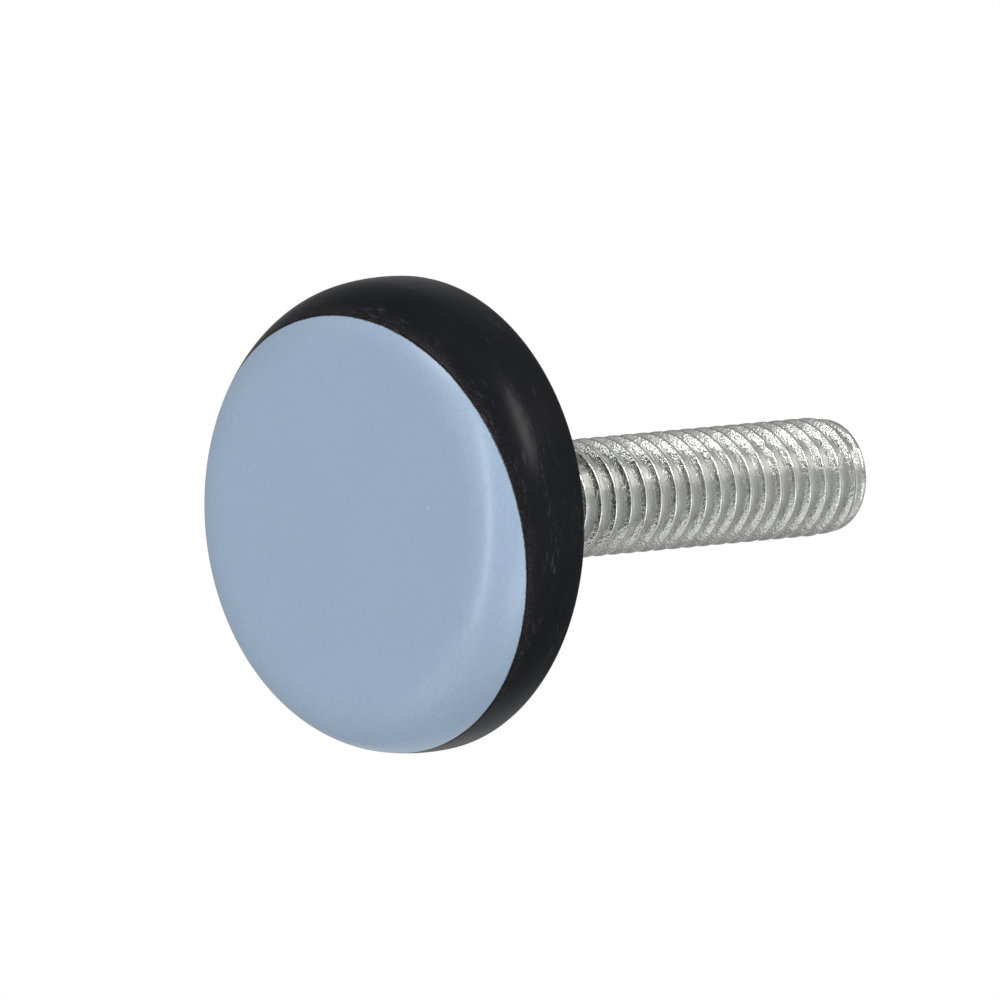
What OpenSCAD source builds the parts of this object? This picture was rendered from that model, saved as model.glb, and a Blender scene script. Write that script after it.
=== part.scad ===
// Threaded furniture glide: a low-friction pad seated in a rubber base, on a threaded steel stud.
// The sliding face lies on z = 0, and the stud stands up along +Z. All sizes are millimetres.

/* [Rubber base] */
// Largest diameter of the base, at the crown of its side
base_d = 31.75; // [28:0.25:40]
// Height of the base, from the sliding face to the back face
base_h = 7; // [6.6:0.1:9]
// Height of the crown, where the base is widest
crown_h = 5.6; // [5:0.1:6]
// Radius of the barrel-shaped side
side_r = 12.5; // [10:0.5:20]
// Radius of the edge round the back face
back_edge_r = 0.4; // [0.2:0.1:0.8]

/* [Sliding pad] */
// Radius of the pad's rounded sliding edge
pad_edge_r = 4.4; // [3:0.1:4.8]
// Diameter of the core that keys the pad into the base
core_d = 20; // [14:0.5:22]
// Height of the top of the core above the sliding face
core_h = 3.8; // [3.6:0.1:4]

/* [Rubber lip] */
// Height of the seam between pad and lip, measured on the axis
lip_h = 2.3; // [2.2:0.1:2.6]
// Lean of the seam, which brings the lip down on the -X side
lip_lean = 7.4; // [0:0.1:8]

/* [Recess round the stud] */
// Radial gap between the crests of the thread and the wall of the recess in the back face
recess_gap = 0.5; // [0.2:0.05:1]
// Depth of the recess, which bares the end of the stud's plain neck
recess_depth = 0.5; // [0.2:0.05:0.8]

/* [Threaded stud] */
// Diameter over the crests of the thread
stud_d = 7.94; // [5:0.01:10]
// Length of the stud that stands out of the base
stud_len = 38.5; // [15:0.1:80]
// Advance of the thread in one turn
thread_pitch = 1.411; // [0.8:0.001:1.6]
// Azimuth, from +X, at which the crest of the thread leaves the back face
thread_start = 96.6; // [0:0.1:360]
// Turns of thread that run into the tapered point
point_turns = 1.2; // [0.5:0.1:2]
// Radius lost from the stud at the flat of the point
point_drop = 0.32; // [0.1:0.01:0.8]
// Diameter of the plain neck between the head and the thread
neck_d = 7.05; // [4:0.05:9]
// Diameter of the flat head inside the base
head_d = 18; // [12:0.5:22]
// Thickness of the flat head
head_t = 1.6; // [1:0.1:1.8]

/* [Hidden] */
$fn = 128;
// Flat steps in each turn of the thread's flanks
thread_steps = 20;

base_r = base_d / 2;
// The edge arcs cross the barrel arc by this much, so that they meet it without a sliver
arc_bite = 0.0005;
// Centre of the barrel arc, and the centres of the two edge arcs that run smoothly into it
side_c = [base_r - side_r, crown_h];
pad_edge_c = inner_arc_centre(pad_edge_r, pad_edge_r);
back_edge_c = inner_arc_centre(back_edge_r, base_h - back_edge_r);
// Cutting shapes reach this far past the base
reach = base_d;
point_len = point_turns * thread_pitch;
head_top = core_h + head_t;
recess_z = base_h - recess_depth;
tip_z = base_h + stud_len;
// Sharp height of a 60 degree thread, and what its standard form takes from it: the peak that
// the crests are cut from, the root of the groove, and the run of a flank between the two
sharp_h = thread_pitch * sqrt(3) / 2;
peak_r = stud_d / 2 + sharp_h / 8;
root_r = stud_d / 2 - sharp_h * 17 / 24;
flank_run = (peak_r - root_r) * tan(30);

// Centre, at height z, of an arc of radius r that runs into the barrel arc from inside
function inner_arc_centre(r, z) =
    [side_c.x + sqrt(pow(side_r - r + arc_bite, 2) - pow(z - crown_h, 2)), z];

function unit(v) = v / norm(v);

// Corner outside an arc, between the directions in which the arc starts and ends
module corner_waste(centre, r, from, to) {
    difference() {
        polygon([
            centre,
            centre + 2 * r * from,
            centre + 2 * r * (from + to),
            centre + 2 * r * to
        ]);
        translate(centre) circle(r = r);
    }
}

// Half section of the base with its pad: flat face, rounded edge, barrel side, flat back
module base_section() {
    difference() {
        intersection() {
            square([base_d, base_h]);
            union() {
                translate(side_c) circle(r = side_r);
                square([max(side_c.x, pad_edge_c.x), base_h]);
            }
        }
        corner_waste(pad_edge_c, pad_edge_r, [0, -1], unit(pad_edge_c - side_c));
        corner_waste(back_edge_c, back_edge_r, unit(back_edge_c - side_c), [0, 1]);
    }
}

module base_form() {
    rotate_extrude() base_section();
}

// Everything on the pad's side of the leaning seam, with the core that reaches past it
module pad_room() {
    translate([0, 0, lip_h])
        rotate([0, -lip_lean, 0])
            translate([-reach, -reach, -reach])
                cube([2 * reach, 2 * reach, reach]);
    translate([0, 0, -reach])
        cylinder(d = core_d, h = reach + core_h);
}

// Flat head and plain neck, which the rubber is moulded round
module stud_foot() {
    translate([0, 0, core_h])
        cylinder(d = head_d, h = head_t);
    translate([0, 0, head_top])
        cylinder(d = neck_d, h = base_h - head_top);
}

// Shank over its crests, with the tapered point
module shank_form() {
    translate([0, 0, base_h])
        cylinder(d = stud_d, h = tip_z - point_len - base_h);
    translate([0, 0, tip_z - point_len])
        cylinder(d1 = stud_d, d2 = stud_d - 2 * point_drop, h = point_len);
}

// Corner of the ridge at one step of its helix: 0 is its lower foot, 1 its peak, 2 its upper foot
function ridge_corner(step, corner) =
    let(turn = step / thread_steps, r = corner == 1 ? peak_r : root_r)
    [
        r * cos(360 * turn),
        r * sin(360 * turn),
        thread_pitch * turn + (corner - 1) * flank_run
    ];

// Rod with a sharp ridge wound round it. The ridge is a turn longer than the groove above it, and
// each end is closed from the axis
module ridged_rod(turns) {
    rows = turns * thread_steps;
    last = rows + thread_steps;
    low_middle = 3 * (last + 1);
    high_middle = low_middle + 1;
    flanks = [
        for (row = [0:last - 1], corner = [0:1])
        let(a = 3 * row + corner, b = a + 3)
        each [[a, a + 1, b], [b, a + 1, b + 1]]
    ];
    groove = [
        for (row = [0:rows - 1])
        let(a = 3 * row + 2, b = 3 * (row + thread_steps))
        each [[a, b, a + 3], [a + 3, b, b + 3]]
    ];
    low_end = [
        for (row = [0:thread_steps - 1]) [low_middle, 3 * row, 3 * row + 3],
        [low_middle, 1, 0],
        [low_middle, 2, 1],
        [low_middle, 3 * thread_steps, 2]
    ];
    high_end = [
        for (row = [rows:last - 1]) [high_middle, 3 * row + 5, 3 * row + 2],
        [high_middle, 3 * last + 1, 3 * last + 2],
        [high_middle, 3 * last, 3 * last + 1],
        [high_middle, 3 * rows + 2, 3 * last]
    ];
    polyhedron(
        points = [
            for (row = [0:last], corner = [0:2]) ridge_corner(row, corner),
            [0, 0, 0],
            [0, 0, thread_pitch * (turns + 1)]
        ],
        faces = concat(flanks, groove, low_end, high_end)
    );
}

// The shank cuts the ridge down to its crests, to the back face and to the point
module threaded_shank() {
    intersection() {
        shank_form();
        translate([0, 0, base_h - thread_pitch])
            rotate([0, 0, thread_start])
                ridged_rod(ceil(stud_len / thread_pitch) + 1);
    }
}

// Low-friction plastic disc with a rounded edge
module glide_pad() {
    color([0.58, 0.67, 0.77])
        intersection() {
            base_form();
            pad_room();
        }
}

// Shallow well in the back face round the foot of the stud
module stud_recess() {
    translate([0, 0, recess_z])
        cylinder(d = stud_d + 2 * recess_gap, h = reach);
}

// Moulded rubber base: its lip holds the pad, and it is closed round the stud's head
module rubber_base() {
    color([0.07, 0.07, 0.08])
        difference() {
            base_form();
            pad_room();
            stud_foot();
            stud_recess();
        }
}

// Zinc-plated steel stud with a rolled thread and a flat head
module threaded_stud() {
    color([0.75, 0.76, 0.75]) {
        stud_foot();
        threaded_shank();
    }
}

glide_pad();
rubber_base();
threaded_stud();
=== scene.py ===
"""Threaded furniture glide: a blue-grey pad in a black rubber base, on a zinc-plated stud.

Every size is in metres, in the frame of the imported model: the sliding face lies on z = 0
and the stud stands up along +Z.
"""
import math

import bmesh
import bpy
from bpy.props import FloatProperty, FloatVectorProperty, IntProperty, PointerProperty
from bpy.types import Operator, Panel, PropertyGroup
from mathutils import Matrix, Vector, noise


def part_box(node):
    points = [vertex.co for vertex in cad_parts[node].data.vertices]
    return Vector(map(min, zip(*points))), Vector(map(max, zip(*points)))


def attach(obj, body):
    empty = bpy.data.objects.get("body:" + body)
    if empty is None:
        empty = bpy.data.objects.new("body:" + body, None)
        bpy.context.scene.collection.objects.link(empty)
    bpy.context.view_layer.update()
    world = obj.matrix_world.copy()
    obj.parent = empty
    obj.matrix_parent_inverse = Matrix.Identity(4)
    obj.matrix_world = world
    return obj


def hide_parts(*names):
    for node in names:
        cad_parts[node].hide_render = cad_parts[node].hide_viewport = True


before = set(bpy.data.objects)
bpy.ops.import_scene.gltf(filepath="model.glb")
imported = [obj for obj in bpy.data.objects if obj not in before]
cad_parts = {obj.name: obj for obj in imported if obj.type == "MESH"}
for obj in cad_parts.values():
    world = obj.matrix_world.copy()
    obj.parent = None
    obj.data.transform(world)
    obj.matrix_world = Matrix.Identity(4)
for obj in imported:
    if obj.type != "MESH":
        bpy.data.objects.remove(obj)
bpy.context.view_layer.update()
BASE_LOW, BASE_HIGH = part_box("rubber_base")
STUD_LOW, STUD_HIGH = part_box("threaded_stud")

bl_info = {
    "name": "Threaded Furniture Glide",
    "version": (1, 0, 0),
    "blender": (4, 5, 0),
    "location": "3D View > Sidebar > Glide",
    "description": "Builds a round furniture glide with a threaded stud, and its studio",
    "category": "Add Mesh",
}

MM = 0.001
TURN = 2 * math.pi
# Azimuth of the side that faces the camera, counted from +X towards +Y
VIEWER_AZIMUTH = math.radians(251)


# ---------------------------------------------------------------- sizes and colours

class GlideBaseSizes(PropertyGroup):
    """Sizes of the pad and of the rubber base round it"""

    diameter: FloatProperty(
        name="Diameter", description="Diameter of the base at its widest",
        default=BASE_HIGH.x - BASE_LOW.x, unit="LENGTH", precision=5)
    height: FloatProperty(
        name="Height", description="Height of the back face above the sliding face",
        default=BASE_HIGH.z, unit="LENGTH", precision=5)
    crown_height: FloatProperty(
        name="Crown height", description="Height at which the barrel side is widest",
        default=5.6 * MM, unit="LENGTH", precision=5)
    side_radius: FloatProperty(
        name="Side radius", description="Radius of the barrel side's arc",
        default=12.5 * MM, unit="LENGTH", precision=5)
    pad_edge_radius: FloatProperty(
        name="Pad edge radius", description="Radius of the arc round the sliding face",
        default=4.4 * MM, unit="LENGTH", precision=5)
    back_edge_radius: FloatProperty(
        name="Back edge radius", description="Radius of the arc round the back face",
        default=0.4 * MM, unit="LENGTH", precision=5)
    core_diameter: FloatProperty(
        name="Core diameter", description="Diameter of the pad's core inside the rubber",
        default=20 * MM, unit="LENGTH", precision=5)
    lip_height: FloatProperty(
        name="Lip height", description="Height of the seam, measured on the axis",
        default=2.3 * MM, unit="LENGTH", precision=5)
    lip_lean: FloatProperty(
        name="Lip lean", description="Lean of the seam, down on the -X side",
        default=math.radians(7.4), unit="ROTATION")
    seam_round: FloatProperty(
        name="Seam rounding", description="Rounding of both edges at the seam",
        default=0.08 * MM, unit="LENGTH", precision=5)
    seam_wander: FloatProperty(
        name="Seam wander", description="How far the moulded seam strays from its plane",
        default=0.02 * MM, unit="LENGTH", precision=5)
    recess_gap: FloatProperty(
        name="Recess gap", description="Gap between the thread and the recess round it",
        default=0.5 * MM, unit="LENGTH", precision=5)
    recess_depth: FloatProperty(
        name="Recess depth", description="Depth of the recess round the stud",
        default=0.5 * MM, unit="LENGTH", precision=5)
    steps: IntProperty(
        name="Steps", description="Steps of the mesh round the axis", default=288)


class GlideStudSizes(PropertyGroup):
    """Sizes of the threaded stud with its flat head"""

    diameter: FloatProperty(
        name="Diameter", description="Diameter over the crests of the thread",
        default=7.94 * MM, unit="LENGTH", precision=5)
    pitch: FloatProperty(
        name="Pitch", description="Advance of the thread in one turn",
        default=1.411 * MM, unit="LENGTH", precision=5)
    thread_depth: FloatProperty(
        name="Thread depth", description="Depth of the thread's groove",
        default=0.866 * MM, unit="LENGTH", precision=5)
    crest_flat: FloatProperty(
        name="Crest flat", description="Width of the flat on each crest",
        default=0.11 * MM, unit="LENGTH", precision=5)
    crest_round: FloatProperty(
        name="Crest rounding", description="Rounding of the crests' edges",
        default=0.035 * MM, unit="LENGTH", precision=5)
    root_round: FloatProperty(
        name="Root rounding", description="Rounding at the bottom of the groove",
        default=0.16 * MM, unit="LENGTH", precision=5)
    neck_diameter: FloatProperty(
        name="Neck diameter", description="Diameter of the plain neck under the thread",
        default=7.05 * MM, unit="LENGTH", precision=5)
    head_thickness: FloatProperty(
        name="Head thickness", description="Thickness of the flat head inside the base",
        default=1.6 * MM, unit="LENGTH", precision=5)
    crest_place: FloatProperty(
        name="Crest place", description="Height of one crest on the side that faces the camera",
        default=28.77 * MM, unit="LENGTH", precision=5)
    crest_wander: FloatProperty(
        name="Crest wander", description="How far the rolled crests stray along the stud",
        default=0.03 * MM, unit="LENGTH", precision=5)
    point_length: FloatProperty(
        name="Point length", description="Length of the tapered point",
        default=1.69 * MM, unit="LENGTH", precision=5)
    point_drop: FloatProperty(
        name="Point drop", description="Radius lost at the flat end of the point",
        default=0.2 * MM, unit="LENGTH", precision=5)
    point_round: FloatProperty(
        name="Point rounding", description="Rounding of the edge round the flat end",
        default=0.1 * MM, unit="LENGTH", precision=5)
    run_out: FloatProperty(
        name="Run-out", description="Length over which the groove grows shallow at the point",
        default=0.9 * MM, unit="LENGTH", precision=5)
    steps: IntProperty(
        name="Steps", description="Steps of the mesh in each turn of thread", default=128)


class GlideFinish(PropertyGroup):
    """Colours of the glide's materials"""

    pad: FloatVectorProperty(
        name="Pad", description="Colour of the sliding pad's plastic",
        default=(0.305, 0.412, 0.55), subtype="COLOR", size=3, min=0, max=1)
    rubber: FloatVectorProperty(
        name="Rubber", description="Colour of the moulded rubber",
        default=(0.005, 0.0055, 0.0085), subtype="COLOR", size=3, min=0, max=1)
    zinc: FloatVectorProperty(
        name="Zinc", description="Colour of the zinc plate on the stud",
        default=(0.6, 0.605, 0.58), subtype="COLOR", size=3, min=0, max=1)
    floor: FloatVectorProperty(
        name="Floor", description="Colour of the studio floor",
        default=(0.9, 0.9, 0.9), subtype="COLOR", size=3, min=0, max=1)


class GlideStudio(PropertyGroup):
    """Camera and light of the studio"""

    lens: FloatProperty(
        name="Lens", description="Focal length in millimetres", default=1623, min=1)
    distance: FloatProperty(
        name="Distance", description="Distance of the camera from the point it aims at",
        default=3.0, unit="LENGTH")
    tilt: FloatProperty(
        name="Tilt", description="Angle between the line of sight and the stud",
        default=math.radians(45.4), unit="ROTATION")
    roll: FloatProperty(
        name="Roll", description="Rise of the stud in the picture, above the horizontal",
        default=math.radians(5.3), unit="ROTATION")
    ambient: FloatProperty(
        name="Ambient", description="Strength of the soft light from all round", default=0.565)


# ---------------------------------------------------------------- meshes

# Rings of the mesh: as shares of the radius on the sliding face and on the back of the core, and
# as radii on the back face
FACE_RINGS = (0.2, 0.45, 0.65, 0.8, 0.9, 0.96)
CORE_RINGS = (0.7, 0.4)
BACK_RINGS = (14 * MM, 11 * MM, 8 * MM, 6 * MM)
# How many rings lie on the curved side of the pad, and on that of the rubber
PAD_SIDE_RINGS = 26
RUBBER_SIDE_RINGS = 34
# Chamfer on the back of the pad's core, and rounding where the recess starts in the back face
CORE_CHAMFER = 0.15 * MM
RECESS_EDGE = 0.12 * MM
# Angles from which an edge is shaded sharp
BASE_SHARP = math.radians(35)
STUD_SHARP = math.radians(50)


def make_piece(name, slot, *nodes):
    """New empty piece that stands for CAD nodes and rides on the body; the slot is not used."""
    piece = bpy.data.objects.new(name, bpy.data.meshes.new(name))
    bpy.context.scene.collection.objects.link(piece)
    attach(piece, "root")
    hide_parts(*nodes)
    return piece


def set_mesh(piece, verts, faces):
    """Fills the mesh of the pad or the rubber, with smooth faces that break at sharp edges."""
    mesh = piece.data
    mesh.from_pydata([tuple(v) for v in verts], [], faces)
    mesh.validate()
    mesh.update()
    mesh.shade_smooth()
    mesh.set_sharp_from_angle(angle=BASE_SHARP)


def mark_points(mesh, name, values):
    """Stores one value for each vertex, which the materials read by name."""
    marks = mesh.attributes.new(name, "FLOAT", "POINT")
    marks.data.foreach_set("value", values)


def around(step, steps):
    """Angle of one step round the axis."""
    return TURN * step / steps


def wander(angle, scale, seed):
    """Smooth noise from -1 to 1 that closes on itself after one turn."""
    return noise.noise(Vector((scale * math.cos(angle), scale * math.sin(angle), seed)))


class BaseProfile:
    """Half section of the base's outer form, from the sliding face's edge to the back face."""

    def __init__(self, sizes):
        self.sizes = sizes
        self.side = Vector((sizes.diameter / 2 - sizes.side_radius, sizes.crown_height))
        self.low = self.inner_centre(sizes.pad_edge_radius, sizes.pad_edge_radius)
        self.high = self.inner_centre(
            sizes.back_edge_radius, sizes.height - sizes.back_edge_radius)
        self.low_join = self.angle_of(self.low - self.side)
        self.high_join = self.angle_of(self.high - self.side)
        # Each arc as centre, radius, and the angles at which it starts and ends
        self.arcs = [
            (self.low, sizes.pad_edge_radius, -math.pi / 2, self.low_join),
            (self.side, sizes.side_radius, self.low_join, self.high_join),
            (self.high, sizes.back_edge_radius, self.high_join, math.pi / 2),
        ]
        self.lengths = [radius * (end - start) for _, radius, start, end in self.arcs]
        self.length = sum(self.lengths)

    def inner_centre(self, radius, z):
        """Centre, at a height, of an arc that runs into the barrel side from inside."""
        reach = (self.sizes.side_radius - radius) ** 2 - (z - self.side.y) ** 2
        return Vector((self.side.x + math.sqrt(reach), z))

    @staticmethod
    def angle_of(direction):
        """Angle of a direction in the half section, from straight outward."""
        return math.atan2(direction.y, direction.x)

    def point(self, travel):
        """Point (radius, height) at a distance along the profile."""
        arc = 0
        while arc < len(self.arcs) - 1 and travel > self.lengths[arc]:
            travel -= self.lengths[arc]
            arc += 1
        centre, radius, start, _ = self.arcs[arc]
        angle = start + travel / radius
        return centre + radius * Vector((math.cos(angle), math.sin(angle)))

    def seam_height(self, radius, angle):
        """Height of the leaning seam plane at a radius and an angle round the axis."""
        lean = math.tan(self.sizes.lip_lean)
        return self.sizes.lip_height + lean * radius * math.cos(angle)

    def seam_travel(self, angle):
        """Distance along the profile at which the moulded seam crosses it."""
        stray = self.sizes.seam_wander * (
            0.6 * wander(angle, 3, 1.7) + 0.7 * wander(angle, 11, 5.2))
        low, high = 0.0, self.length
        # Halves the stretch that holds the crossing until only rounding is left
        for _ in range(40):
            middle = (low + high) / 2
            place = self.point(middle)
            if place.y < self.seam_height(place.x, angle) + stray:
                low = middle
            else:
                high = middle
        return (low + high) / 2

    def seam_at(self, angle):
        """Seam at one angle: its travel, its outer and inner ends, and the direction inward."""
        seam = self.seam_travel(angle)
        core = self.sizes.core_diameter / 2
        corner = self.point(seam)
        inner = Vector((core, self.seam_height(core, angle)))
        return seam, corner, inner, (inner - corner).normalized()


def rounded_corner(before, corner, after, count=5):
    """Points on a curve that rounds a corner between two points beside it."""
    points = []
    for i in range(count):
        t = i / (count - 1)
        points.append(before * (1 - t) ** 2 + corner * 2 * t * (1 - t) + after * t ** 2)
    return points


def spread(start, end, count):
    """Evenly spaced values from start to end, both included."""
    return [start + (end - start) * i / (count - 1) for i in range(count)]


def pad_section(profile, angle):
    """Section of the pad at one angle, from the middle of its face to the middle of its core."""
    core = profile.sizes.core_diameter / 2
    core_top = STUD_LOW.z
    seam, corner, inner, inward = profile.seam_at(angle)
    soft = profile.sizes.seam_round * (1 + 0.5 * wander(angle, 8, 9.1))
    points = [Vector((profile.low.x * share, 0)) for share in FACE_RINGS]
    points += [profile.point(t) for t in spread(0, seam - soft, PAD_SIDE_RINGS)]
    points += rounded_corner(points[-1], corner, corner + inward * soft)[1:]
    points += [corner.lerp(inner, 0.5), inner]
    points += [Vector((core, max(inner.y, core_top - CORE_CHAMFER))),
               Vector((core - CORE_CHAMFER, core_top))]
    points += [Vector((core * share, core_top)) for share in CORE_RINGS]
    return points


def rubber_section(profile, stud, angle):
    """Closed section of the rubber at one angle, starting at the lip's edge."""
    sizes = profile.sizes
    core = sizes.core_diameter / 2
    core_top = STUD_LOW.z
    head_top = core_top + stud.head_thickness
    head = (STUD_HIGH.x - STUD_LOW.x) / 2
    neck = stud.neck_diameter / 2
    well = stud.diameter / 2 + sizes.recess_gap
    well_floor = sizes.height - sizes.recess_depth
    seam, corner, inner, inward = profile.seam_at(angle)
    soft = sizes.seam_round * (1.3 + 0.6 * wander(angle, 6, 3.3))
    outer = [profile.point(t) for t in spread(seam + soft, profile.length, RUBBER_SIDE_RINGS)]
    points = rounded_corner(corner + inward * soft, corner, outer[0])[:-1] + outer
    points += [Vector((radius, sizes.height)) for radius in BACK_RINGS]
    points += rounded_corner(
        Vector((well + RECESS_EDGE, sizes.height)), Vector((well, sizes.height)),
        Vector((well, sizes.height - RECESS_EDGE)), 4)
    points += [Vector((well, well_floor)), Vector((neck, well_floor)), Vector((neck, head_top))]
    points += [Vector((head, head_top)), Vector((head, core_top)), Vector((core, core_top))]
    points += [inner, corner.lerp(inner, 0.5)]
    return points


def seam_distances(profile, sections):
    """Each vertex's distance from the edge of the seam in its own section, in millimetres."""
    distances = []
    for step, points in enumerate(sections):
        seam = profile.point(profile.seam_travel(around(step, len(sections))))
        distances += [(point - seam).length / MM for point in points]
    return distances


def turned(sections):
    """Vertices of sections set round the axis, one section for each step."""
    steps = len(sections)
    verts = []
    for step, points in enumerate(sections):
        angle = around(step, steps)
        side = Vector((math.cos(angle), math.sin(angle), 0))
        verts += [side * p.x + Vector((0, 0, p.y)) for p in points]
    return verts


def band_faces(steps, columns, closed):
    """Quads between neighbouring sections; closed joins the last column to the first."""
    faces = []
    for step in range(steps):
        here, there = step * columns, (step + 1) % steps * columns
        for i in range(columns if closed else columns - 1):
            j = (i + 1) % columns
            faces.append((here + i, there + i, there + j, here + j))
    return faces


def outward(piece):
    """Turns a closed mesh's faces outward."""
    work = bmesh.new()
    work.from_mesh(piece.data)
    bmesh.ops.recalc_face_normals(work, faces=work.faces[:])
    work.to_mesh(piece.data)
    work.free()


# ---------------------------------------------------------------- thread

# Slope of the thread's flanks, from the direction across the stud
FLANK = math.radians(30)
# The threaded skin reaches this far down into the head
SKIN_IN_HEAD = 0.3 * MM
# The plain neck turns into thread from this far below the back face, over this length
NECK_END = 0.45 * MM
NECK_TURNING = 0.6 * MM
# Share of the groove's depth that is gone where the point ends
RUN_OUT_SHARE = 0.9
# Places of the mesh's columns across one turn of the thread, from one crest to the next
THREAD_COLUMNS = (
    0, 0.03, 0.05, 0.066, 0.085, 0.12, 0.18, 0.25, 0.32, 0.38, 0.43, 0.5, 0.57, 0.62, 0.68, 0.75,
    0.82, 0.88, 0.915, 0.934, 0.95, 0.97)
# Smooth noise, in layers with a fineness per millimetre and a weight: how the crests stray along
# the stud, in shares of their wander, and how the surface is worn, in millimetres
CREST_STRAY = ((0.8, 1), (2.6, 0.7))
THREAD_WEAR = ((1.3, 0.014), (4, 0.008))
# Dents that the crests took in the barrel plater: azimuth, height and reach of each, and the
# depth of a dent as a share of its reach
DENTS = (
    (VIEWER_AZIMUTH - math.radians(38), 37.2 * MM, 0.34 * MM),
    (VIEWER_AZIMUTH - math.radians(18), 37.6 * MM, 0.28 * MM),
    (VIEWER_AZIMUTH + math.radians(44), 24.4 * MM, 0.3 * MM),
)
DENT_SHARE = 0.5
# Steps of the rounding at the end of the stud, in degrees
POINT_STEPS = (20, 40, 60, 78, 90)
# Rings of the dish in the end of the stud: share of the radius, and how deep each lies
DISH_RINGS = (
    (0.95, 0.0), (0.9, 0.04 * MM), (0.82, 0.1 * MM), (0.6, 0.14 * MM), (0.3, 0.15 * MM))
# Height in the groove that the end of the stud counts as for its finish, near that of a crest
POINT_MARK = 0.95
# Steps round the flat head, and rounding of its edges
HEAD_STEPS = 96
HEAD_EDGE = 0.15 * MM


class Thread:
    """Form of the stud's threaded surface, from its foot inside the head to its tip."""

    def __init__(self, sizes):
        self.sizes = sizes
        self.radius = sizes.diameter / 2
        self.foot = STUD_LOW.z + sizes.head_thickness - SKIN_IN_HEAD
        self.tip = STUD_HIGH.z
        self.shift = sizes.crest_place / sizes.pitch - VIEWER_AZIMUTH / TURN

    def depth(self, across):
        """Depth below the crest, at a place across one turn from 0 to 1, with the crest at 0."""
        sizes = self.sizes
        away = min(across % 1, 1 - across % 1) * sizes.pitch
        slope = (away - sizes.crest_flat / 2) / math.tan(FLANK)
        rising = soft_max(slope, 0, sizes.crest_round)
        return -soft_max(-rising, -sizes.thread_depth, sizes.root_round)

    def limit(self, z):
        """Largest radius that the tapered point leaves at a height."""
        sizes = self.sizes
        taper = max(z - self.tip + sizes.point_length, 0) / sizes.point_length
        return self.radius - sizes.point_drop * taper


def soft_max(a, b, width):
    """Larger of two values, blended over a width where they are close."""
    near = max(width - abs(a - b), 0)
    return max(a, b) + near * near / (4 * width)


def dent_depth(angle, z, radius):
    """How deep the dents reach into the crests at one place."""
    depth = 0.0
    for azimuth, height, reach in DENTS:
        turn = (angle - azimuth + math.pi) % TURN - math.pi
        away = math.hypot(turn * radius, z - height) / reach
        depth += DENT_SHARE * reach * math.exp(-away * away)
    return depth


def layered_noise(place, layers):
    """Smooth noise at a place in millimetres, summed over layers of fineness and weight."""
    return sum(weight * noise.noise(place * fineness) for fineness, weight in layers)


def thread_rows(thread):
    """Vertices and quads of the threaded skin, laid along the helix.

    The third list holds each vertex's height in the groove, from 0 at the root to 1 at the crest.
    """
    sizes = thread.sizes
    steps = sizes.steps
    columns = len(THREAD_COLUMNS)
    first = math.floor(thread.foot / sizes.pitch - thread.shift) - 1
    turns = math.ceil(thread.tip / sizes.pitch - thread.shift) + 1 - first
    neck = sizes.neck_diameter / 2
    verts, heights = [], []
    for k in range(turns * steps + 1):
        angle = around(k, steps)
        side = Vector((math.cos(angle), math.sin(angle), 0))
        for across in THREAD_COLUMNS:
            z = (thread.shift + first + k / steps + across) * sizes.pitch
            ending = min(max((z - thread.tip) / sizes.run_out + 1, 0), 1)
            depth = thread.depth(across)
            depth *= 1 - RUN_OUT_SHARE * ending * ending * (3 - 2 * ending)
            height = 1 - depth / sizes.thread_depth
            place = side * thread.radius / MM + Vector((0, 0, z / MM))
            z += sizes.crest_wander * height * layered_noise(place, CREST_STRAY)
            radius = thread.radius - depth - layered_noise(place, THREAD_WEAR) * MM
            radius -= height * dent_depth(angle, z, thread.radius)
            fade = min(max((z - BASE_HIGH.z + NECK_END) / NECK_TURNING, 0), 1)
            radius = neck + (radius - neck) * fade
            radius = min(radius, thread.limit(z))
            verts.append(side * radius + Vector((0, 0, z)))
            heights.append(height * fade)
    faces = []
    for k in range(turns * steps):
        for i in range(columns):
            here = k * columns + i
            above = (k + steps) * columns
            if i + 1 < columns:
                faces.append((here, here + columns, here + columns + 1, here + 1))
            elif k + 1 + steps <= turns * steps:
                faces.append((here, here + columns, above + columns, above))
    return verts, faces, heights


def cut_flat(mesh, height, keep_below):
    """Cuts a mesh at a height, drops one side and gives the edges of the cut."""
    geometry = mesh.verts[:] + mesh.edges[:] + mesh.faces[:]
    cut = bmesh.ops.bisect_plane(
        mesh, geom=geometry, dist=1e-7, plane_co=(0, 0, height), plane_no=(0, 0, 1),
        clear_outer=keep_below, clear_inner=not keep_below)
    return [e for e in cut["geom_cut"] if isinstance(e, bmesh.types.BMEdge)]


def join_rings(work, below, above):
    """Quads between two rings with as many vertices each."""
    for k in range(len(below)):
        j = (k + 1) % len(below)
        work.faces.new((below[k], below[j], above[j], above[k]))


def ring_order(edges):
    """Vertices of a closed loop of edges, in order."""
    first = edges[0].verts[0]
    ring, edge, vert = [], edges[0], first
    ours = set(edges)
    while True:
        ring.append(vert)
        vert = edge.other_vert(vert)
        if vert is first:
            return ring
        edge = next(e for e in vert.link_edges if e in ours and e is not edge)


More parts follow.
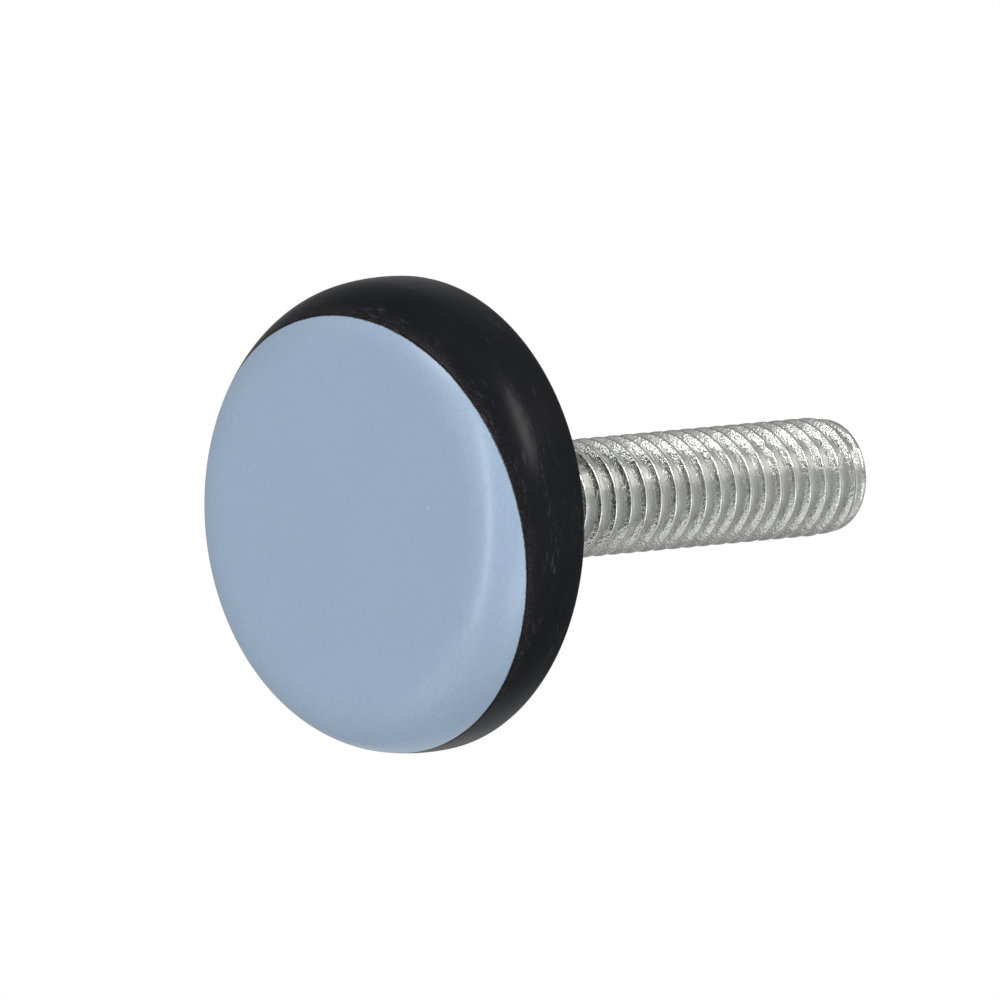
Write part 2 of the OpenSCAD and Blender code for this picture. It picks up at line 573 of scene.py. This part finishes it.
def close_point(work, edges, thread):
    """Rounded edge and slightly dished flat that close the end of the stud."""
    sizes = thread.sizes
    marks = work.verts.layers.float["thread_height"]
    ring = ring_order(edges)
    foot = [Vector((v.co.x, v.co.y)) for v in ring]
    # Each ring as radius lost to the rounding, share of the radius left, and height
    levels = []
    for angle in POINT_STEPS:
        turn = math.radians(angle)
        levels.append((sizes.point_round * (1 - math.cos(turn)), 1.0,
                       thread.tip - sizes.point_round * (1 - math.sin(turn))))
    for share, sunk in DISH_RINGS:
        levels.append((sizes.point_round, share, thread.tip - sunk))
    for lost, share, height in levels:
        above = []
        for flat in foot:
            place = flat * (1 - lost / flat.length) * share
            vert = work.verts.new((place.x, place.y, height))
            vert[marks] = POINT_MARK
            above.append(vert)
        join_rings(work, ring, above)
        ring = above
    work.faces.new(ring)


def add_head(work, low, thickness, radius):
    """Flat round head, as a closed shell with softened edges."""
    outline = [(radius - HEAD_EDGE, low), (radius, low + HEAD_EDGE),
               (radius, low + thickness - HEAD_EDGE), (radius - HEAD_EDGE, low + thickness)]
    angles = [around(k, HEAD_STEPS) for k in range(HEAD_STEPS)]
    rows = []
    for r, z in outline:
        rows.append([work.verts.new((r * math.cos(a), r * math.sin(a), z)) for a in angles])
    for below, above in zip(rows, rows[1:]):
        join_rings(work, below, above)
    work.faces.new(rows[0][::-1])
    work.faces.new(rows[-1])


# ---------------------------------------------------------------- materials

# Spacing of the nodes in the shader editor
NODE_STEP = 220
# Colours that wear and dust mix into the finishes, and the painted shade at the seam and painted
# reflection at the lip
PAD_SPECK = (0.66, 0.72, 0.78)
# Painted shade: dark colour for the thin line in the seam's groove
SEAM_PAINTED_SHADE = (0.03, 0.027, 0.024)
RUBBER_BLOOM = (0.0095, 0.0095, 0.0095)
RUBBER_SCUFF = (0.05, 0.052, 0.055)
# Chafe colour, a warm brown that also paints a soft reflection near the seam
RUBBER_CHAFE_AND_REFLECTION = (0.05, 0.042, 0.034)
RUBBER_DUST = (0.11, 0.11, 0.11)
ZINC_VALLEY = (0.51, 0.54, 0.54)
ZINC_DULL = (0.42, 0.42, 0.38)


def new_tree(name):
    """New material with an empty node tree; gives the material and its tree."""
    material = bpy.data.materials.new(name)
    material.use_nodes = True
    material.node_tree.nodes.clear()
    return material, material.node_tree


def put(tree, kind, place, label="", settings=None, **inputs):
    """New node at a place in the tree; inputs are values or the outputs that feed them."""
    made = tree.nodes.new(kind)
    made.location = (place[0] * NODE_STEP, place[1] * NODE_STEP)
    made.label = label
    for key, value in (settings or {}).items():
        setattr(made, key, value)
    for key, value in inputs.items():
        feed(tree, made.inputs[key.replace("_", " ")], value)
    return made


def feed(tree, socket, value):
    """Links an output to a socket, or sets the socket's own value."""
    if isinstance(value, bpy.types.NodeSocket):
        tree.links.new(value, socket)
    elif hasattr(value, "__len__") and len(value) == 3 and len(socket.default_value) == 4:
        socket.default_value = (*value, 1)
    else:
        socket.default_value = value


def finish_material(tree, shader, place):
    """Puts the output node after a shader."""
    put(tree, "ShaderNodeOutputMaterial", place, Surface=shader.outputs[0])


def math_node(tree, operation, place, a, b, clamp=False):
    """Math node's output for two values."""
    settings = {"operation": operation, "use_clamp": clamp}
    made = put(tree, "ShaderNodeMath", place, settings=settings)
    feed(tree, made.inputs[0], a)
    feed(tree, made.inputs[1], b)
    return made.outputs[0]


def mix_colours(tree, place, factor, a, b):
    """Mix node's output for two colours, whose sockets follow those for plain values."""
    made = put(tree, "ShaderNodeMix", place, settings={"data_type": "RGBA"})
    feed(tree, made.inputs[0], factor)
    feed(tree, made.inputs[6], a)
    feed(tree, made.inputs[7], b)
    return made.outputs[2]


def ramp_values(tree, place, factor, *stops):
    """Colour ramp's grey output, through stops of position and value."""
    made = put(tree, "ShaderNodeValToRGB", place, Fac=factor)
    elements = made.color_ramp.elements
    while len(elements) < len(stops):
        elements.new(0.5)
    for element, (position, value) in zip(elements, stops):
        element.position = position
        element.color = (value, value, value, 1)
    return made.outputs[0]


def new_group(name, inputs, outputs):
    """New node group with named float sockets; gives the group and what its inputs bring."""
    group = bpy.data.node_groups.new(name, "ShaderNodeTree")
    for title, default in inputs.items():
        socket = group.interface.new_socket(
            title, in_out="INPUT", socket_type="NodeSocketFloat")
        socket.default_value = default
    for title in outputs:
        group.interface.new_socket(title, in_out="OUTPUT", socket_type="NodeSocketFloat")
    return group, put(group, "NodeGroupInput", (0, 0)).outputs


def mottle_group():
    """Node group: soft cloudy variation with fine grain over it, in object space.

    Sizes are in millimetres. Squeeze flattens both along the stud, so that the grain runs round
    the axis.
    """
    group, given = new_group(
        "Mottle and Grain", {"Cloud Size": 3.0, "Grain Size": 0.1, "Squeeze": 1.0},
        ("Cloud", "Grain"))
    where = put(group, "ShaderNodeTexCoord", (0, 1)).outputs["Object"]
    stretch = put(group, "ShaderNodeCombineXYZ", (1, 2), X=1.0, Y=1.0, Z=given["Squeeze"])
    place = put(group, "ShaderNodeVectorMath", (2, 1), "Squeeze", {"operation": "MULTIPLY"})
    feed(group, place.inputs[0], where)
    feed(group, place.inputs[1], stretch.outputs[0])
    outputs = []
    for row, (name, detail) in enumerate((("Cloud Size", 3), ("Grain Size", 2))):
        scale = math_node(group, "DIVIDE", (1, -row), 1 / MM, given[name])
        cloud = put(group, "ShaderNodeTexNoise", (3, -row), name, Vector=place.outputs[0],
                    Scale=scale, Detail=detail, Roughness=0.55)
        outputs.append(cloud.outputs[0])
    put(group, "NodeGroupOutput", (4, 0), Cloud=outputs[0], Grain=outputs[1])
    return group


def speck_group():
    """Node group: sparse specks of dust, in object space, with sizes in millimetres."""
    group, given = new_group(
        "Sparse Specks", {"Spacing": 1.5, "Speck Size": 0.1, "Share": 0.4}, ("Mask",))
    where = put(group, "ShaderNodeTexCoord", (0, 1)).outputs["Object"]
    scale = math_node(group, "DIVIDE", (1, 0), 1 / MM, given["Spacing"])
    cells = put(group, "ShaderNodeTexVoronoi", (2, 0), Vector=where, Scale=scale)
    reach = math_node(group, "DIVIDE", (2, -1), given["Speck Size"], given["Spacing"])
    near = math_node(group, "SUBTRACT", (3, 0), 1.0,
                     math_node(group, "DIVIDE", (3, -1), cells.outputs["Distance"], reach), True)
    chance = put(group, "ShaderNodeSeparateColor", (3, 1), Color=cells.outputs["Color"])
    kept = math_node(group, "LESS_THAN", (4, 1), chance.outputs[0], given["Share"])
    put(group, "NodeGroupOutput", (5, 0), Mask=math_node(group, "MULTIPLY", (4, 0), near, kept))
    return group


def place_group(tree, name, make, place, **inputs):
    """Places a shared node group, which is built once, with this material's own values."""
    group = bpy.data.node_groups.get(name) or make()
    return put(tree, "ShaderNodeGroup", place, settings={"node_tree": group}, **inputs).outputs


def read_mark(tree, place, name):
    """Value stored at the vertices under a name."""
    return put(tree, "ShaderNodeAttribute", place, name, {"attribute_name": name}).outputs["Fac"]


def pad_material(colour):
    """Satin low-friction plastic, faintly mottled, with pale specks and painted shade along the
    seam.
    """
    material, tree = new_tree("Pad Plastic")
    mottle = place_group(tree, "Mottle and Grain", mottle_group, (0, 0),
                         Cloud_Size=7.0, Grain_Size=0.2)
    specks = place_group(tree, "Sparse Specks", speck_group, (0, -1),
                         Spacing=3.1, Speck_Size=0.2, Share=0.2)
    mixed = math_node(tree, "ADD", (1, 1), math_node(tree, "MULTIPLY", (0, 1), mottle["Cloud"], 0.2),
                      math_node(tree, "MULTIPLY", (0, 2), mottle["Grain"], 0.8))
    tint = ramp_values(tree, (1, 0), mixed, (0.35, 0.91), (0.65, 1.01))
    base = mix_colours(tree, (2, 0), tint, (0, 0, 0), colour)
    pale = math_node(tree, "MULTIPLY", (2, -1), specks["Mask"], 0.55)
    base = mix_colours(tree, (3, 0), pale, base, PAD_SPECK)
    # Painted shade: a thin dark line along the seam's groove, made uneven by the grain
    seam = read_mark(tree, (0, -2), "seam_distance")
    uneven = math_node(tree, "MULTIPLY", (1, -2), mottle["Grain"], 0.16)
    line = ramp_values(tree, (2, -2), math_node(tree, "SUBTRACT", (1, -3), seam, uneven),
                       (0.0, 0.9), (0.03, 0.0))
    base = mix_colours(tree, (4, 0), line, base, SEAM_PAINTED_SHADE)
    rough = ramp_values(tree, (2, 1), mottle["Cloud"], (0.3, 0.25), (0.7, 0.3))
    bump = put(tree, "ShaderNodeBump", (4, -1), Strength=0.05, Distance=0.02 * MM,
               Height=mottle["Grain"])
    shader = put(tree, "ShaderNodeBsdfPrincipled", (5, 0), Base_Color=base, Roughness=rough,
                 Normal=bump.outputs[0])
    finish_material(tree, shader, (6, 0))
    return material


def rubber_material(colour):
    """Moulded rubber, with scuffs that run round the crown, and chafed spots at the lip whose warm
    brown also paints a soft reflection.
    """
    material, tree = new_tree("Moulded Rubber")
    mottle = place_group(tree, "Mottle and Grain", mottle_group, (0, 0),
                         Cloud_Size=3.6, Grain_Size=0.1)
    streaks = place_group(tree, "Mottle and Grain", mottle_group, (0, -1),
                          Cloud_Size=5.5, Grain_Size=0.8, Squeeze=6.0)
    specks = place_group(tree, "Sparse Specks", speck_group, (0, -2),
                         Spacing=1.3, Speck_Size=0.08, Share=0.1)
    bloom = ramp_values(tree, (1, 0), mottle["Cloud"], (0.4, 0.0), (0.75, 0.5))
    base = mix_colours(tree, (2, 0), bloom, colour, RUBBER_BLOOM)
    scuffed = math_node(
        tree, "MULTIPLY", (2, -1),
        ramp_values(tree, (1, -1), streaks["Grain"], (0.54, 0.0), (0.7, 1.0)),
        ramp_values(tree, (1, -2), streaks["Cloud"], (0.5, 0.0), (0.62, 0.55)))
    base = mix_colours(tree, (3, 0), scuffed, base, RUBBER_SCUFF)
    # Chafing and painted reflection: warm brown spots near the seam stand for chafed rubber and also
    # for a soft reflection there
    seam = read_mark(tree, (0, -3), "seam_distance")
    near = ramp_values(tree, (1, -3), seam, (0.1, 1.0), (0.9, 0.0))
    chafe_and_reflection = math_node(
        tree, "MULTIPLY", (2, -3), near,
        ramp_values(tree, (1, -4), mottle["Grain"], (0.52, 0.0), (0.68, 0.8)))
    base = mix_colours(tree, (4, 0), chafe_and_reflection, base, RUBBER_CHAFE_AND_REFLECTION)
    dust = math_node(tree, "MULTIPLY", (3, -2), specks["Mask"], 0.5)
    base = mix_colours(tree, (5, 0), dust, base, RUBBER_DUST)
    rough = ramp_values(tree, (2, 1), mottle["Cloud"], (0.3, 0.27), (0.7, 0.35))
    rough = math_node(tree, "ADD", (3, 1), rough,
                      math_node(tree, "MULTIPLY", (2, 2), scuffed, 0.2))
    bump = put(tree, "ShaderNodeBump", (5, -1), Strength=0.14, Distance=0.02 * MM,
               Height=mottle["Grain"])
    shader = put(tree, "ShaderNodeBsdfPrincipled", (6, 0), Base_Color=base, Roughness=rough,
                 Specular_IOR_Level=0.09, Normal=bump.outputs[0])
    finish_material(tree, shader, (7, 0))
    return material


def zinc_material(colour):
    """Zinc plate over rolled steel: matt in the valleys, wrinkled most on the flanks."""
    material, tree = new_tree("Zinc Plate")
    mottle = place_group(tree, "Mottle and Grain", mottle_group, (0, 0),
                         Cloud_Size=1.3, Grain_Size=0.28, Squeeze=2.0)
    fine = place_group(tree, "Mottle and Grain", mottle_group, (0, -1),
                       Cloud_Size=0.5, Grain_Size=0.13, Squeeze=1.5)
    height = read_mark(tree, (0, -2), "thread_height")
    passive = ramp_values(tree, (1, 1), height, (0.0, 1.0), (0.3, 0.7), (0.6, 0.0), (1.0, 0.15))
    base = mix_colours(tree, (2, 1), passive, colour, ZINC_VALLEY)
    dull = ramp_values(tree, (1, 0), mottle["Cloud"], (0.35, 0.0), (0.75, 0.4))
    base = mix_colours(tree, (3, 1), dull, base, ZINC_DULL)
    rough = ramp_values(tree, (2, 0), fine["Cloud"], (0.3, 0.14), (0.7, 0.24))
    matt = ramp_values(tree, (2, -3), height, (0.2, 0.22), (0.55, 0.0))
    rough = math_node(tree, "ADD", (3, 0), rough, matt)
    drawn = ramp_values(tree, (1, -2), height, (0.0, 0.25), (0.35, 0.4), (0.6, 1.0), (0.93, 1.0),
                        (1.0, 0.3))
    waves = math_node(tree, "MULTIPLY", (2, -1), mottle["Grain"], drawn)
    ripple = math_node(tree, "MULTIPLY", (2, -2), fine["Grain"], drawn)
    bump = put(tree, "ShaderNodeBump", (3, -1), Strength=1.0, Distance=0.052 * MM, Height=waves)
    bump = put(tree, "ShaderNodeBump", (4, -1), Strength=1.0, Distance=0.018 * MM, Height=ripple,
               Normal=bump.outputs[0])
    shader = put(tree, "ShaderNodeBsdfPrincipled", (5, 0), Base_Color=base, Roughness=rough,
                 Metallic=1.0, Normal=bump.outputs[0])
    finish_material(tree, shader, (6, 0))
    return material


def floor_material(colour):
    """Pale matt floor that is seen only from above."""
    material, tree = new_tree("Studio Floor")
    shader = put(tree, "ShaderNodeBsdfPrincipled", (0, 0), Base_Color=colour, Roughness=0.9)
    clear = put(tree, "ShaderNodeBsdfTransparent", (0, -2))
    side = put(tree, "ShaderNodeNewGeometry", (0, 1))
    both = put(tree, "ShaderNodeMixShader", (1, 0))
    tree.links.new(side.outputs["Backfacing"], both.inputs[0])
    tree.links.new(shader.outputs[0], both.inputs[1])
    tree.links.new(clear.outputs[0], both.inputs[2])
    finish_material(tree, both, (2, 0))
    return material


# ---------------------------------------------------------------- operators

class GLIDE_OT_pad(Operator):
    """Builds the sliding pad, which shows below the leaning seam"""

    bl_idname = "glide.pad"
    bl_label = "Sliding Pad"

    def execute(self, context):
        sizes = context.scene.glide_base
        profile = BaseProfile(sizes)
        steps = sizes.steps
        sections = [pad_section(profile, around(k, steps)) for k in range(steps)]
        columns = len(sections[0])
        verts = turned(sections)
        faces = band_faces(steps, columns, closed=False)
        face_middle, core_middle = len(verts), len(verts) + 1
        verts += [Vector((0, 0, 0)), Vector((0, 0, STUD_LOW.z))]
        for k in range(steps):
            here, there = k * columns, (k + 1) % steps * columns
            faces.append((here, there, face_middle))
            faces.append((there + columns - 1, here + columns - 1, core_middle))
        piece = make_piece("sliding_pad", "pad", "glide_pad")
        set_mesh(piece, verts, faces)
        distances = seam_distances(profile, sections) + [sizes.diameter / MM] * 2
        mark_points(piece.data, "seam_distance", distances)
        outward(piece)
        piece.data.materials.append(pad_material(context.scene.glide_finish.pad))
        return {"FINISHED"}


class GLIDE_OT_rubber(Operator):
    """Builds the rubber base with its lip round the pad and its recess round the stud"""

    bl_idname = "glide.rubber"
    bl_label = "Rubber Base"

    def execute(self, context):
        scene = context.scene
        profile = BaseProfile(scene.glide_base)
        steps = scene.glide_base.steps
        sections = [
            rubber_section(profile, scene.glide_stud, around(k, steps)) for k in range(steps)]
        piece = make_piece("rubber_body", "rubber", "rubber_base")
        set_mesh(piece, turned(sections), band_faces(steps, len(sections[0]), closed=True))
        mark_points(piece.data, "seam_distance", seam_distances(profile, sections))
        outward(piece)
        piece.data.materials.append(rubber_material(scene.glide_finish.rubber))
        return {"FINISHED"}


class GLIDE_OT_stud(Operator):
    """Builds the stud: rolled thread, plain neck and flat head"""

    bl_idname = "glide.stud"
    bl_label = "Threaded Stud"

    def execute(self, context):
        sizes = context.scene.glide_stud
        thread = Thread(sizes)
        verts, faces, heights = thread_rows(thread)
        piece = make_piece("stud", "zinc_steel", "threaded_stud")
        piece.data.from_pydata([tuple(v) for v in verts], [], faces)
        mark_points(piece.data, "thread_height", heights)
        work = bmesh.new()
        work.from_mesh(piece.data)
        end = cut_flat(work, thread.tip - sizes.point_round, keep_below=True)
        close_point(work, end, thread)
        foot = cut_flat(work, thread.foot, keep_below=False)
        bmesh.ops.edgeloop_fill(work, edges=foot)
        add_head(work, STUD_LOW.z, sizes.head_thickness, (STUD_HIGH.x - STUD_LOW.x) / 2)
        bmesh.ops.recalc_face_normals(work, faces=work.faces[:])
        work.to_mesh(piece.data)
        work.free()
        piece.data.shade_smooth()
        piece.data.set_sharp_from_angle(angle=STUD_SHARP)
        piece.data.materials.append(zinc_material(context.scene.glide_finish.zinc))
        return {"FINISHED"}


# ---------------------------------------------------------------- studio

# Ways in the studio are written as three parts, which studio_way puts together: towards the
# camera's side, up in the picture before it is rolled, and along the stud.
# Point that the camera aims at, width of its sensor in millimetres, and how far it sees
CAMERA_AIM = (0, 0.37 * MM, 14.68 * MM)
SENSOR_WIDTH = 36
CAMERA_REACH = 20
# Half the floor's width, and how far it lies under the sliding face
FLOOR_REACH = 4.0
FLOOR_GAP = 0.05 * MM
# Side on which the world is bright in reflections, and its strength there on the other side
BRIGHT_SIDE = (0.82, 0.0, -0.57)
DIM_SIDE = 0.375
# Place on the stud that the lamps look at
LAMP_AIM = Vector((0, 0, 12 * MM))
WHITE, WARM, COOL = (1, 1, 1), (1, 0.96, 0.93), (0.92, 0.96, 1)
# Lamps: name, way from the glide to the lamp, way of its long side, distance, length and width,
# radiance, and colour
LAMPS = (
    ("strip", (0.17, 0, -0.985), (0.376, 0.925, 0.065), 0.36, (0.4, 0.04), 7.0, WHITE),
    ("window", (0.81, 0.5, 0.09), (-0.4, 0.6, 0.02), 0.42, (0.2, 0.07), 21.0, WARM),
    ("key", (-0.05, 0.64, -0.77), (1, 0.1, 0), 0.36, (0.13, 0.08), 5.2, WHITE),
    ("fill", (0.75, -0.55, -0.35), (0, 0.5, -0.8), 0.4, (0.2, 0.2), 1.8, COOL),
    ("upper", (-0.55, 0.66, -0.5), (0, 0.5, 0.7), 0.4, (0.3, 0.25), 0.2, WHITE),
    ("lower", (-0.2, -0.62, -0.75), (1, 0, -0.3), 0.4, (0.3, 0.25), 0.6, WHITE),
    ("back", (-0.49, -0.62, 0.62), (1, 0, 0.8), 0.4, (0.3, 0.3), 0.4, COOL),
)


def studio_way(toward, rise, along):
    """Way in the model's frame, from its three parts in the studio."""
    cos_side, sin_side = math.cos(VIEWER_AZIMUTH), math.sin(VIEWER_AZIMUTH)
    return Vector((toward * cos_side + rise * sin_side, toward * sin_side - rise * cos_side, along))


def viewer_axes(studio):
    """Right, up and back directions of the camera in the model's frame."""
    toward, rise, along = studio_way(1, 0, 0), studio_way(0, 1, 0), studio_way(0, 0, 1)
    cos_tilt, sin_tilt = math.cos(studio.tilt), math.sin(studio.tilt)
    cos_roll, sin_roll = math.cos(studio.roll), math.sin(studio.roll)
    back = sin_tilt * toward - cos_tilt * along
    shown = cos_tilt * toward + sin_tilt * along
    right = cos_roll * shown - sin_roll * rise
    up = sin_roll * shown + cos_roll * rise
    return right, up, back


def softbox(name, stand, long_side, distance, size, radiance, colour):
    """Area lamp that looks at the glide from a distance, with an even radiance over its size."""
    data = bpy.data.lights.new(name, "AREA")
    data.shape = "RECTANGLE"
    data.size, data.size_y = size[0], size[1]
    data.energy = radiance * math.pi * size[0] * size[1]
    data.color = colour
    lamp = bpy.data.objects.new(name, data)
    bpy.context.scene.collection.objects.link(lamp)
    back = studio_way(*stand).normalized()
    long_way = studio_way(*long_side)
    across = (long_way - long_way.dot(back) * back).normalized()
    turn = Matrix((across, back.cross(across), back)).transposed()
    lamp.matrix_world = Matrix.Translation(LAMP_AIM + back * distance) @ turn.to_4x4()


class GLIDE_OT_studio(Operator):
    """Sets up the floor, the soft lamps, the world and the camera"""

    bl_idname = "glide.studio"
    bl_label = "Studio"

    def execute(self, context):
        scene = context.scene
        studio = scene.glide_studio
        self.make_floor(scene.glide_finish.floor)
        self.make_world(studio.ambient)
        for lamp in LAMPS:
            softbox(*lamp)
        self.make_camera(studio)
        scene.view_settings.view_transform = "Standard"
        return {"FINISHED"}

    def make_floor(self, colour):
        """Large floor just under the sliding face. It neither stops light nor is reflected."""
        mesh = bpy.data.meshes.new("floor")
        corners = ((-1, -1), (1, -1), (1, 1), (-1, 1))
        mesh.from_pydata(
            [(x * FLOOR_REACH, y * FLOOR_REACH, -FLOOR_GAP) for x, y in corners],
            [], [(0, 1, 2, 3)])
        floor = bpy.data.objects.new("floor", mesh)
        bpy.context.scene.collection.objects.link(floor)
        mesh.materials.append(floor_material(colour))
        floor.visible_diffuse = False
        floor.visible_glossy = False
        floor.visible_shadow = False

    def make_world(self, ambient):
        """World that is white to the camera and even as light.

        In reflections it fades from white on its bright side to dim on the other, and it is
        dimmer straight below.
        """
        world = bpy.data.worlds.new("Studio")
        bpy.context.scene.world = world
        world.use_nodes = True
        tree = world.node_tree
        tree.nodes.clear()
        path = put(tree, "ShaderNodeLightPath", (0, 0)).outputs
        way = put(tree, "ShaderNodeTexCoord", (0, 2)).outputs["Generated"]
        facing = put(tree, "ShaderNodeVectorMath", (1, 2), "Bright side",
                     {"operation": "DOT_PRODUCT"})
        feed(tree, facing.inputs[0], way)
        feed(tree, facing.inputs[1], studio_way(*BRIGHT_SIDE))
        lit = put(tree, "ShaderNodeMapRange", (2, 2), "Side fall-off",
                  {"interpolation_type": "SMOOTHSTEP"}, Value=facing.outputs["Value"],
                  From_Min=-0.2, From_Max=0.5)
        height = put(tree, "ShaderNodeSeparateXYZ", (1, 3), Vector=way)
        level = put(tree, "ShaderNodeMapRange", (2, 3), "Dimmer below",
                    {"interpolation_type": "SMOOTHSTEP"}, Value=height.outputs["Z"],
                    From_Min=-0.8, From_Max=0.0, To_Min=0.45)
        room = math_node(tree, "MULTIPLY", (3, 2), lit.outputs[0], level.outputs[0])
        mirrored = math_node(tree, "ADD", (1, 0), path["Is Glossy Ray"],
                             path["Is Transmission Ray"], clamp=True)
        shown = put(tree, "ShaderNodeMapRange", (4, 2), "In reflections",
                    Value=room, To_Min=DIM_SIDE - ambient, To_Max=1 - ambient)
        shown = math_node(tree, "MULTIPLY", (5, 1), mirrored, shown.outputs[0])
        seen = math_node(tree, "MULTIPLY", (2, 0), path["Is Camera Ray"], 1 - ambient)
        extra = math_node(tree, "ADD", (6, 0), seen, shown)
        strength = math_node(tree, "ADD", (7, 0), extra, ambient)
        light = put(tree, "ShaderNodeBackground", (8, 0), Color=(1, 1, 1), Strength=strength)
        put(tree, "ShaderNodeOutputWorld", (9, 0), Surface=light.outputs[0])

    def make_camera(self, studio):
        """Camera at the viewing angle, far enough away to flatten the perspective."""
        right, up, back = viewer_axes(studio)
        data = bpy.data.cameras.new("camera")
        data.lens = studio.lens
        data.sensor_width = SENSOR_WIDTH
        data.clip_end = CAMERA_REACH
        camera = bpy.data.objects.new("camera", data)
        bpy.context.scene.collection.objects.link(camera)
        aim = studio_way(*CAMERA_AIM)
        turn = Matrix((right, up, back)).transposed()
        camera.matrix_world = Matrix.Translation(aim + back * studio.distance) @ turn.to_4x4()
        bpy.context.scene.camera = camera


# ---------------------------------------------------------------- panel and registration

BUILD_ORDER = ("pad", "rubber", "stud", "studio")
GROUPS = {
    "glide_base": GlideBaseSizes,
    "glide_stud": GlideStudSizes,
    "glide_finish": GlideFinish,
    "glide_studio": GlideStudio,
}


class GLIDE_PT_panel(Panel):
    """Lists the sizes, the colours and the steps that build the glide"""

    bl_idname = "GLIDE_PT_panel"
    bl_label = "Furniture Glide"
    bl_space_type = "VIEW_3D"
    bl_region_type = "UI"
    bl_category = "Glide"

    def draw(self, context):
        layout = self.layout
        for group in GROUPS:
            box = layout.box()
            settings = getattr(context.scene, group)
            for name in settings.__annotations__:
                box.prop(settings, name)
        for name in BUILD_ORDER:
            layout.operator("glide." + name)


CLASSES = (
    *GROUPS.values(),
    GLIDE_OT_pad, GLIDE_OT_rubber, GLIDE_OT_stud, GLIDE_OT_studio, GLIDE_PT_panel,
)


def register():
    for cls in CLASSES:
        bpy.utils.register_class(cls)
    for name, group in GROUPS.items():
        setattr(bpy.types.Scene, name, PointerProperty(type=group))


def unregister():
    for name in GROUPS:
        delattr(bpy.types.Scene, name)
    for cls in reversed(CLASSES):
        bpy.utils.unregister_class(cls)


def main():
    register()
    for name in BUILD_ORDER:
        getattr(bpy.ops.glide, name)()
    bpy.context.view_layer.update()


if __name__ == "__main__":
    main()
